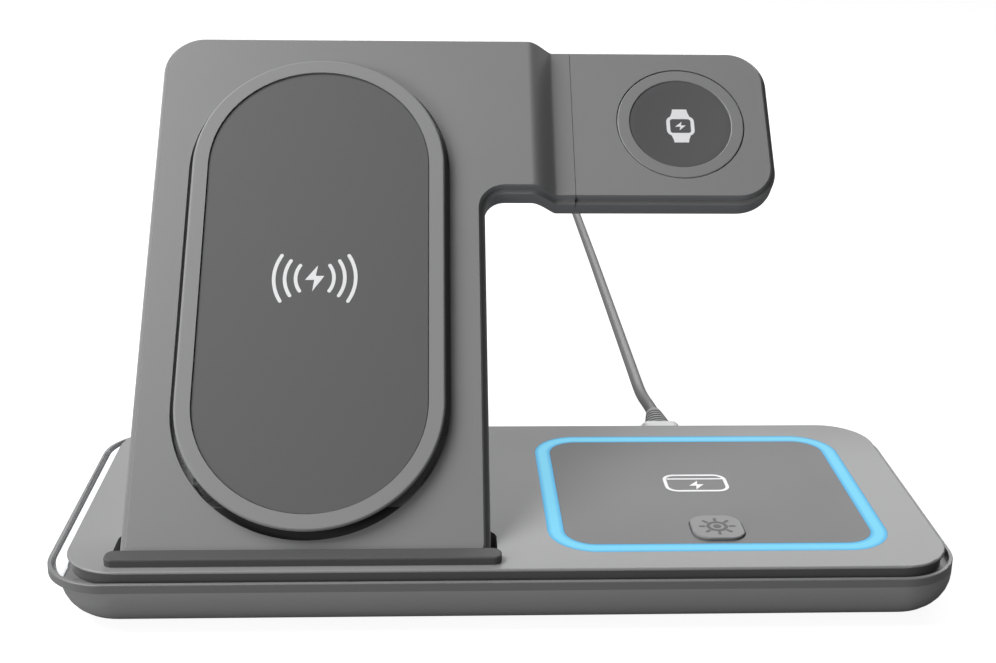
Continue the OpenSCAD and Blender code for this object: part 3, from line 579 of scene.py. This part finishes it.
# The parts in the base: charging coil on its ferrite, circuit boards with their components, the switch,
# the socket of bent steel sheet and the hinge's steel tube.
def drawn_surface():
    """Shared finish: fine streaks along one axis, as rolled, drawn or wound metal shows."""
    group = bpy.data.node_groups.new("drawn surface", "ShaderNodeTree")
    socket(group, "Colour", "NodeSocketColor", "INPUT")
    socket(group, "Stretch", "NodeSocketVector", "INPUT", (40, 4000, 4000))
    socket(group, "Contrast", "NodeSocketFloat", "INPUT", 0.25)
    socket(group, "Roughness", "NodeSocketFloat", "INPUT", 0.3)
    socket(group, "Colour", "NodeSocketColor", "OUTPUT")
    socket(group, "Roughness", "NodeSocketFloat", "OUTPUT")
    socket(group, "Height", "NodeSocketFloat", "OUTPUT")
    add, link = group.nodes.new, group.links.new
    given, put_out = add("NodeGroupInput"), add("NodeGroupOutput")
    place = add("ShaderNodeTexCoord")
    drawn = add("ShaderNodeVectorMath")
    drawn.operation = "MULTIPLY"
    link(place.outputs["Object"], drawn.inputs[0])
    link(given.outputs["Stretch"], drawn.inputs[1])
    streaks = add("ShaderNodeTexNoise")
    streaks.inputs["Scale"].default_value = 1
    streaks.inputs["Detail"].default_value = 3
    link(drawn.outputs["Vector"], streaks.inputs["Vector"])
    centred = add("ShaderNodeMath")
    centred.operation = "SUBTRACT"
    centred.inputs[1].default_value = 0.5
    link(streaks.outputs["Fac"], centred.inputs[0])
    tint = add("ShaderNodeMath")
    tint.operation = "MULTIPLY_ADD"
    tint.inputs[2].default_value = 1
    link(centred.outputs[0], tint.inputs[0])
    link(given.outputs["Contrast"], tint.inputs[1])
    shade = add("ShaderNodeVectorMath")
    shade.operation = "SCALE"
    link(given.outputs["Colour"], shade.inputs[0])
    link(tint.outputs[0], shade.inputs["Scale"])
    rough = add("ShaderNodeMath")
    rough.operation = "MULTIPLY_ADD"
    rough.inputs[1].default_value = 0.25
    link(centred.outputs[0], rough.inputs[0])
    link(given.outputs["Roughness"], rough.inputs[2])
    link(shade.outputs[0], put_out.inputs["Colour"])
    link(rough.outputs[0], put_out.inputs["Roughness"])
    link(streaks.outputs["Fac"], put_out.inputs["Height"])
    return group


drawing = drawn_surface()


def metal(name, colour, roughness, stretch=(40, 4000, 4000), contrast=0.25):
    """A metal with fine streaks; stretch gives how quickly they change along each axis."""
    material = bpy.data.materials.new(name)
    material.use_nodes = True
    nodes, link = material.node_tree.nodes, material.node_tree.links.new
    shader = nodes["Principled BSDF"]
    surface = nodes.new("ShaderNodeGroup")
    surface.node_tree = drawing
    surface.inputs["Colour"].default_value = (*colour, 1)
    surface.inputs["Stretch"].default_value = stretch
    surface.inputs["Contrast"].default_value = contrast
    surface.inputs["Roughness"].default_value = roughness
    bump = nodes.new("ShaderNodeBump")
    bump.inputs["Distance"].default_value = 0.005 * MM
    link(surface.outputs["Height"], bump.inputs["Height"])
    link(surface.outputs["Colour"], shader.inputs["Base Color"])
    link(surface.outputs["Roughness"], shader.inputs["Roughness"])
    link(bump.outputs["Normal"], shader.inputs["Normal"])
    shader.inputs["Metallic"].default_value = 1
    return material


plated_steel = metal("plated steel", (0.60, 0.60, 0.62), 0.28)
turned_brass = metal("turned brass", (0.75, 0.55, 0.24), 0.32)
wound_copper = metal("enamelled copper", (0.72, 0.32, 0.14), 0.36, (900, 900, 900), 0.5)
dull_ferrite = moulded("ferrite sheet", (0.045, 0.042, 0.042), 0.6, grain=3000, depth=0.02, cloud=0.3)
circuit_green = moulded("green solder mask", (0.015, 0.11, 0.045), 0.35, grain=700, depth=0.03, cloud=0.5)
chip_black = moulded("component black", (0.02, 0.02, 0.02), 0.5, grain=2000, depth=0.02, cloud=0.1)
for node in ("tray_screws", "usb_socket", "hinge_tube", "plate_screws", "watch_magnet", "pivot_tube",
             "plug_tip", "usb_a_shell"):
    coated(node, plated_steel)
for node in ("earbud_coil", "phone_coils", "watch_coil"):
    coated(node, wound_copper)
for node in ("earbud_ferrite", "phone_ferrite"):
    coated(node, dull_ferrite)
for node in ("ring_led_board", "base_circuit_board", "plate_circuit_board"):
    coated(node, circuit_green)
for node in ("board_components", "button_switch"):
    coated(node, chip_black)
coated("pivot_bush", turned_brass)


# The phone plate and its arm: two satin shells screwed together at the back. The front one's face is set
# in behind a small shoulder and steps down along the arm to the watch head.
lean = math.radians(46)
plate_foot = Vector((0, -32.5, 14))
edge_radius = 0.9
edge_parts = 5
shoulder = [(0, 2.25), (0.1, 1.95), (0.35, 1.8), (1.15, 1.8), (1.2, 0.4), (1.6, 0)]
head_level = -5
parting = 18.3
parting_seen = 18.12
parting_closed = 18.01


def on_plate(x, up, out):
    """A place in the plate's own frame: across, up its slope, and out of its face."""
    return plate_foot + Vector((x, up * math.cos(lean) - out * math.sin(lean),
                                up * math.sin(lean) + out * math.cos(lean)))


def off_plate(place):
    """The other way round: (across, up the slope, out of the face) of a place."""
    x, y, z = place - plate_foot
    return x, y * math.cos(lean) + z * math.sin(lean), z * math.cos(lean) - y * math.sin(lean)


def packed_step(x):
    """Level of the arm's face as it was packed."""
    k = min(1, max(0, (x - 7) / 7))
    return head_level * (1 - math.cos(math.pi * k)) / 2


def seen_step(x):
    """Level of the arm's face with the real one's rounded brow and tight inner corner."""
    k = min(1, max(0, (x - 7.2) / 6.2))
    return head_level * (1 - (1 - k ** 1.7) ** 1.35)


def stepped(piece):
    """Brings the arm's step to its steeper form."""
    def place(p):
        x, up, out = off_plate(p)
        return on_plate(x, up, out + seen_step(x) - packed_step(x))
    moved(piece, place)


def shouldered(piece, level):
    """Turns the rounded edge of a front face into a small shoulder with the face set in behind it."""
    flat = [off_plate(point.co / MM) for point in piece.data.vertices]
    depths = [level(x) - out for x, up, out in flat]
    outline = {i for i, depth in enumerate(depths) if abs(depth - edge_radius) < 0.02}
    marks = []
    for edge in piece.data.edges:
        if outline.issuperset(edge.vertices):
            a, b = (Vector((flat[i][0], flat[i][1], 0)) for i in edge.vertices)
            parts = 1 + int((b - a).length / 0.15)
            marks += [a.lerp(b, k / parts) for k in range(parts + 1)]
    nearest = KDTree(len(marks))
    for i, mark in enumerate(marks):
        nearest.insert(mark, i)
    nearest.balance()
    for i, (x, up, out) in enumerate(flat):
        depth = max(0, depths[i])
        if depth > edge_radius + 0.02:
            continue
        found, j, gap = nearest.find((x, up, 0))
        turn = math.asin(1 - min(depth, edge_radius) / edge_radius)
        if abs(gap - edge_radius * (1 - math.cos(turn))) > 0.06:
            continue
        inset, deep = shoulder[round(turn / (math.pi / 2) * edge_parts)]
        if gap > 0.001:
            way = (Vector((x, up, 0)) - found).normalized() * inset
            x, up = found.x + way.x, found.y + way.y
        piece.data.vertices[i].co = on_plate(x, up, level(x if abs(x - 18) > 0.5 else 18) - deep) * MM


pad_middle = (-44, 64.95)
pad_run = 30.65
pad_half_width = 30
groove_floor = -1.4


def off_pad(x, up):
    """The nearest point of the pad's spine to a place on the plate, and the way from it to the place."""
    end = pad_middle[1] + max(-pad_run, min(pad_run, up - pad_middle[1]))
    return end, Vector((x - pad_middle[0], up - end))


def grooved(piece):
    """Deepens the groove in which the pad stands."""
    def place(p):
        x, up, out = off_plate(p)
        inside = off_pad(x, up)[1].length < pad_half_width + 1.6
        return on_plate(x, up, groove_floor if inside and abs(out + 0.8) < 0.05 else out)
    moved(piece, place)


def front_of_plate(piece):
    shouldered(piece, packed_step)
    grooved(piece)
    stepped(piece)


def closed_up(piece, to=parting_closed):
    """Narrows the parting line between arm and head: a hairline in front that doesn't show through."""
    moved(piece, lambda p: Vector((to, p.y, p.z)) if abs(p.x - parting) < 0.01 else p)


def front_of_head(piece):
    shouldered(piece, lambda x: head_level)
    closed_up(piece, parting_seen)


plate_grey = (0.245, 0.245, 0.247)
satin_plate = moulded("satin plate plastic", plate_grey, 0.46, grain=2600, depth=0.012, cloud=0.05)
satin_back = moulded("satin back plastic", (0.235, 0.235, 0.238), 0.48, grain=2600, depth=0.012)
plate_face = shell("plate_front", "plate_face_shell", "plate", satin_plate, front_of_plate)


def in_groove(p):
    """Whether a place lies in the groove round the pad."""
    x, up, out = off_plate(p)
    return out < -0.1 and off_pad(x, up)[1].length < pad_half_width + 1.6


# Painted shade: the groove round the pad is darkened to 0.15 of the plate's colour, standing in for the shade deep in
# it.
painted_gap_shade(plate_face, 0.85, in_groove)
shell("plate_back", "plate_back_shell", "plate", satin_back, stepped)


# The phone pad: a lighter soft rim round a long dark grey rubber face, set in a groove in the plate.
rim_rubber = moulded("pad rim rubber", (0.262, 0.262, 0.265), 0.62, grain=2200, depth=0.02)
face_rubber = moulded("pad face rubber", (0.108, 0.108, 0.110), 0.66, grain=2200, depth=0.03)
undercut = 1.2


def undercut_rim(piece):
    """Draws the rim's outer wall in below its rounded edge, so that its band stands over a gap that is dark from real
    shade and from painted shade.
    """
    def place(p):
        x, up, out = off_plate(p)
        end, way = off_pad(x, up)
        if out < 2.3 and way.length > pad_half_width - 0.1:
            way *= (way.length - undercut) / way.length
        return on_plate(pad_middle[0] + way.x, end + way.y, out)
    moved(piece, place)


pad_band = shell("phone_pad_rim", "pad_rim", "plate", rim_rubber, undercut_rim)
# Painted shade: the rim's lower wall, below its band, is darkened to 0.3 of its colour, standing in for the shade in
# the undercut.
painted_gap_shade(pad_band, 0.7, lambda p: off_plate(p)[2] < 2.35)
shell("phone_pad", "pad_face", "plate", face_rubber)


# The watch head: two satin shells on a short steel pivot, with a raised ring round a dished charging face.
shell("watch_head_front", "head_face_shell", "watch_head", satin_plate, front_of_head)
shell("watch_head_back", "head_back_shell", "watch_head", satin_back, closed_up)
satin_puck = moulded("satin puck plastic", (0.245, 0.245, 0.248), 0.40, grain=2600, depth=0.01)
satin_dish = moulded("satin dish plastic", (0.105, 0.105, 0.108), 0.36, grain=2600, depth=0.008)
shell("watch_puck_ring", "puck_ring", "watch_head", satin_puck)
shell("watch_puck_face", "puck_dish", "watch_head", satin_dish)


coated("cord_tie", chip_black)


# The printed signs: thin white and dark prints of a phone, a watch, an earbud case and a sun, the marks
# of what goes where.
def arc_through(first, bulge, last, steps=14):
    """Points of the circle through three points."""
    (ax, ay), (bx, by), (cx, cy) = first, bulge, last
    d = 2 * (ax * (by - cy) + bx * (cy - ay) + cx * (ay - by))
    ux = ((ax**2 + ay**2) * (by - cy) + (bx**2 + by**2) * (cy - ay) + (cx**2 + cy**2) * (ay - by)) / d
    uy = ((ax**2 + ay**2) * (cx - bx) + (bx**2 + by**2) * (ax - cx) + (cx**2 + cy**2) * (bx - ax)) / d
    radius = math.hypot(ax - ux, ay - uy)
    start, middle, end = (math.atan2(y - uy, x - ux) for x, y in (first, bulge, last))
    while middle < start:
        middle += 2 * math.pi
    while end < middle:
        end += 2 * math.pi
    if end - start > 2 * math.pi:
        end -= 2 * math.pi
    turn = end - start
    return [(ux + radius * math.cos(start + turn * i / steps),
             uy + radius * math.sin(start + turn * i / steps)) for i in range(steps + 1)]


def round_box(width, height, radius, middle=(0, 0), steps=6):
    """Outline of a rounded rectangle."""
    points = []
    for k, (sx, sy) in enumerate(((1, 1), (-1, 1), (-1, -1), (1, -1))):
        cx, cy = middle[0] + sx * (width / 2 - radius), middle[1] + sy * (height / 2 - radius)
        for i in range(steps + 1):
            angle = math.pi / 2 * (k + i / steps)
            points.append((cx + radius * math.cos(angle), cy + radius * math.sin(angle)))
    return points


def stroke(path, width):
    """Outline of a pen stroke along a path, with round ends."""
    half, cap = width / 2, 5
    path = [Vector(p) for p in path]
    left, right = [], []
    for i, p in enumerate(path):
        run = (path[min(i + 1, len(path) - 1)] - path[max(i - 1, 0)]).normalized()
        side = Vector((-run.y, run.x)) * half
        left.append(p + side)
        right.append(p - side)

    def end(p, towards):
        return [p + Matrix.Rotation(-math.pi * i / (cap + 1), 2) @ towards for i in range(1, cap + 1)]

    return (left + end(path[-1], left[-1] - path[-1]) + right[::-1]
            + end(path[0], right[0] - path[0]))


def printed(name, shapes, middle, tilt, body, ink, dish=0):
    """Thin ink in flat shapes, laid on a surface that leans by tilt and may be dished, its edges higher."""
    drawn = bpy.data.curves.new(name, "CURVE")
    drawn.dimensions = "2D"
    drawn.fill_mode = "BOTH"
    drawn.extrude = ink_thickness / 2 * MM
    for shape in shapes:
        spline = drawn.splines.new("POLY")
        spline.points.add(len(shape) - 1)
        for point, (x, y) in zip(spline.points, shape):
            point.co = (x * MM, y * MM, 0, 1)
        spline.use_cyclic_u = True
    piece = bpy.data.objects.new(name, drawn)
    bpy.context.scene.collection.objects.link(piece)
    taken_up(piece)
    bpy.ops.object.convert(target="MESH")
    piece = bpy.context.object
    bpy.ops.object.mode_set(mode="EDIT")
    bpy.ops.mesh.select_all(action="SELECT")
    bpy.ops.mesh.quads_convert_to_tris()
    bpy.ops.object.mode_set(mode="OBJECT")
    moved(piece, lambda p: Vector((p.x, p.y, p.z + dish * (p.x ** 2 + p.y ** 2))))
    piece.matrix_world = Matrix.Translation(Vector(middle) * MM) @ Matrix.Rotation(tilt, 4, "X")
    bpy.ops.object.transform_apply(location=True, rotation=True, scale=True)
    finished(piece, ink)
    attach(piece, body)
    return piece


def bolt(width, height, middle=(0, 0)):
    """A lightning mark in two joined leaves."""
    w, h = width / 2, height / 2
    marks = [(0.31, 1), (-1, -0.13), (-0.06, -0.13), (-0.22, -1), (1, 0.17), (0.1, 0.17)]
    return [(middle[0] + x * w, middle[1] + y * h) for x, y in marks]


ink_thickness = 0.04


white_ink = moulded("white ink", (0.86, 0.86, 0.87), 0.5, grain=3000, depth=0.004, cloud=0.05)
dark_ink = moulded("dark ink", (0.045, 0.045, 0.048), 0.5, grain=3000, depth=0.004, cloud=0.08)

arcs = []
for reach, end_x, end_y in ((4.4, 3.4, 3.3), (6.9, 5.6, 4.5), (9.4, 7.75, 5.9)):
    for side in (1, -1):
        ends = (side * end_x, -side * end_y), (side * end_x, side * end_y)
        arcs.append(stroke(arc_through(ends[0], (side * reach, 0), ends[1]), 0.85))
printed("phone_sign", arcs + [bolt(4.4, 6.8)], on_plate(-43.97, 65.0, 2.62), lean, "plate",
        white_ink)

strap = [[(side_x * w, side * h) for side_x, w, h in
          ((-1, 2.5, 2.6), (1, 2.5, 2.6), (1, 2.0, 3.9), (1, 1.8, 4.9), (-1, 1.8, 4.9), (-1, 2.0, 3.9))]
         for side in (1, -1)]
printed("watch_sign", [round_box(7.0, 5.7, 1.6), round_box(5.2, 4.1, 0.7), bolt(2.7, 2.6)],
        on_plate(45.3, 112.5, -5.83), lean, "watch_head", white_ink, dish=0.0037)
printed("watch_sign_straps", strap, on_plate(45.3, 112.5, -5.83), lean, "watch_head", white_ink,
        dish=0.0037)

case_w, case_h, case_pen = 15.2, 9.7, 0.8
lid = case_h * 0.24
printed("case_sign", [round_box(case_w, case_h, 2.9), round_box(case_w - 2 * case_pen, case_h - 2 * case_pen, 2.1)],
        (45.6, 3.3, 14.02), 0, "base", white_ink)
printed("case_sign_lid", [stroke([(-case_w / 2 + 1.2, lid), (case_w / 2 - 1.2, lid)], case_pen * 0.8)],
        (45.6, 3.3, 14.02), 0, "base", white_ink)
printed("case_sign_bolt", [bolt(3.5, 4.8, (0, -1.2))], (45.6, 3.3, 14.02), 0, "base", white_ink)


def circle(radius, steps=32):
    return [(radius * math.cos(2 * math.pi * i / steps), radius * math.sin(2 * math.pi * i / steps))
            for i in range(steps)]


rays = [stroke([(r * math.cos(a), r * math.sin(a)) for r in (2.9, 3.8)], 0.7)
        for a in (math.pi / 4 * k for k in range(8))]
printed("sun_sign", [circle(0.9), circle(2.4), circle(1.6), *rays], (46.3, -21.3, 14.62), 0, "light_button",
        dark_ink)


# The studio: a plain pale floor, a large soft key lamp high on the left, fainter ones in front and
# behind, and a faint even light from all round. The eye sees floor and background as white; the charger gets a duller floor.
def shown_rays(nodes, link):
    """1 for rays that show the background: straight to the eye, or through something clear."""
    path = nodes.new("ShaderNodeLightPath")
    either = nodes.new("ShaderNodeMath")
    either.operation = "MAXIMUM"
    link(path.outputs["Is Camera Ray"], either.inputs[0])
    link(path.outputs["Is Transmission Ray"], either.inputs[1])
    return either.outputs[0]


floor_size = 8
bpy.ops.object.select_all(action="DESELECT")
bpy.ops.mesh.primitive_plane_add(size=floor_size, location=(0, 1, 0))
floor = bpy.context.object
floor.name = "floor"
bpy.ops.object.transform_apply(location=True)
paper = bpy.data.materials.new("floor paper")
paper.use_nodes = True
nodes, link = paper.node_tree.nodes, paper.node_tree.links.new
nodes.remove(nodes["Principled BSDF"])
seen = nodes.new("ShaderNodeBsdfDiffuse")
seen.inputs["Color"].default_value = (0.30, 0.30, 0.30, 1)
glow = nodes.new("ShaderNodeEmission")
glow.inputs["Strength"].default_value = 0.91
both = nodes.new("ShaderNodeAddShader")
link(seen.outputs[0], both.inputs[0])
link(glow.outputs[0], both.inputs[1])
dull = nodes.new("ShaderNodeBsdfDiffuse")
dull.inputs["Color"].default_value = (0.20, 0.20, 0.20, 1)
straight = shown_rays(nodes, link)
either = nodes.new("ShaderNodeMixShader")
link(straight, either.inputs["Fac"])
link(dull.outputs[0], either.inputs[1])
link(both.outputs[0], either.inputs[2])
link(either.outputs[0], nodes["Material Output"].inputs["Surface"])
floor.data.materials.append(paper)

world = bpy.data.worlds.new("room")
bpy.context.scene.world = world
world.use_nodes = True
nodes, link = world.node_tree.nodes, world.node_tree.links.new
background = nodes["Background"]
level = nodes.new("ShaderNodeMapRange")
level.inputs["To Min"].default_value = 0.15
level.inputs["To Max"].default_value = 1
link(shown_rays(nodes, link), level.inputs["Value"])
link(level.outputs["Result"], background.inputs["Strength"])
background.inputs["Color"].default_value = (1, 1, 1, 1)



def soft_lamp(name, place, size, power):
    """A large soft lamp that looks at the charger."""
    lamp = bpy.data.objects.new(name, bpy.data.lights.new(name, "AREA"))
    bpy.context.scene.collection.objects.link(lamp)
    lamp.data.shape = "RECTANGLE"
    lamp.data.size, lamp.data.size_y = size
    lamp.data.energy = power
    lamp.location = place
    lamp.rotation_euler = lamp.location.to_track_quat("Z", "Y").to_euler()
    return lamp


lamps = [soft_lamp("key_lamp", (-0.60, 0.02, 0.90), (0.60, 0.50), 10.8),
         soft_lamp("front_lamp", (-0.90, -0.75, 0.28), (0.70, 0.40), 5.2),
         soft_lamp("rear_lamp", (0.22, 0.78, 0.46), (1.0, 0.4), 4.6)]

bpy.context.scene.view_settings.view_transform = "Standard"
